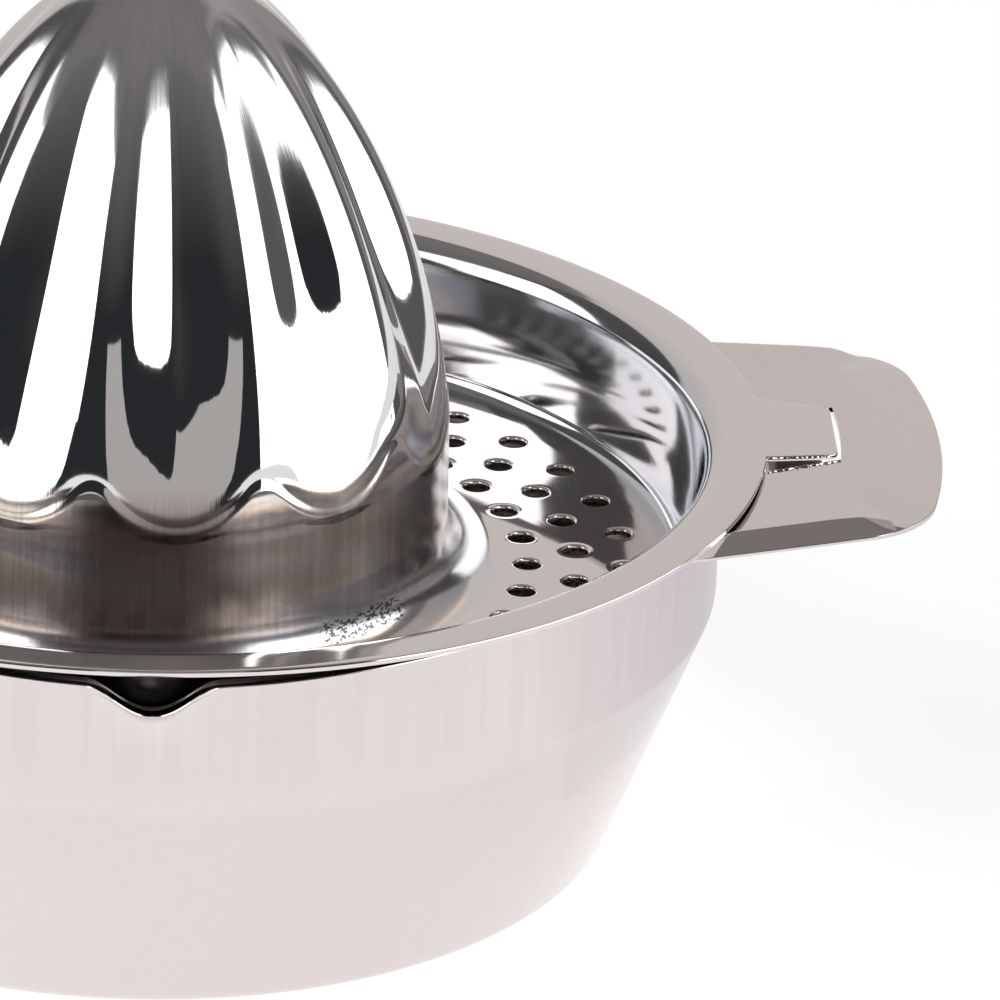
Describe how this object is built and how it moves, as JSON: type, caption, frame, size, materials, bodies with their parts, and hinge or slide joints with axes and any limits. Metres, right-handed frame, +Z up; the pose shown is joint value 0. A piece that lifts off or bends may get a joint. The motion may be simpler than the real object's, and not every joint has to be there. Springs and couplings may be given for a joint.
{
  "type": "citrus juicer",
  "caption": "Hand citrus juicer: pressed steel bowl with handles and pouring lip, and a lift-out perforated strainer with a fluted domed reamer.",
  "frame": {"origin": "centre of the bowl's flat underside, on the surface that it stands on", "axes": "+Z up through the reamer's tip, -Y towards the pouring lip, +X and -X along the handles"},
  "size_m": [0.1668, 0.1335, 0.0953],
  "materials": {
    "bowl_steel": "satin stainless steel with upright draw lines",
    "insert_steel": "polished stainless steel, satin on the ring and tongues"
  },
  "bodies": {
    "bowl": {"bowl": "bowl_steel"},
    "insert": {"reamer_insert": "insert_steel"}
  },
  "joints": [
    {"name": "insert_lift", "type": "slide", "parent": "bowl", "child": "insert", "axis": [0, 0, 1], "range_m": [0, 0.06]}
  ]
}
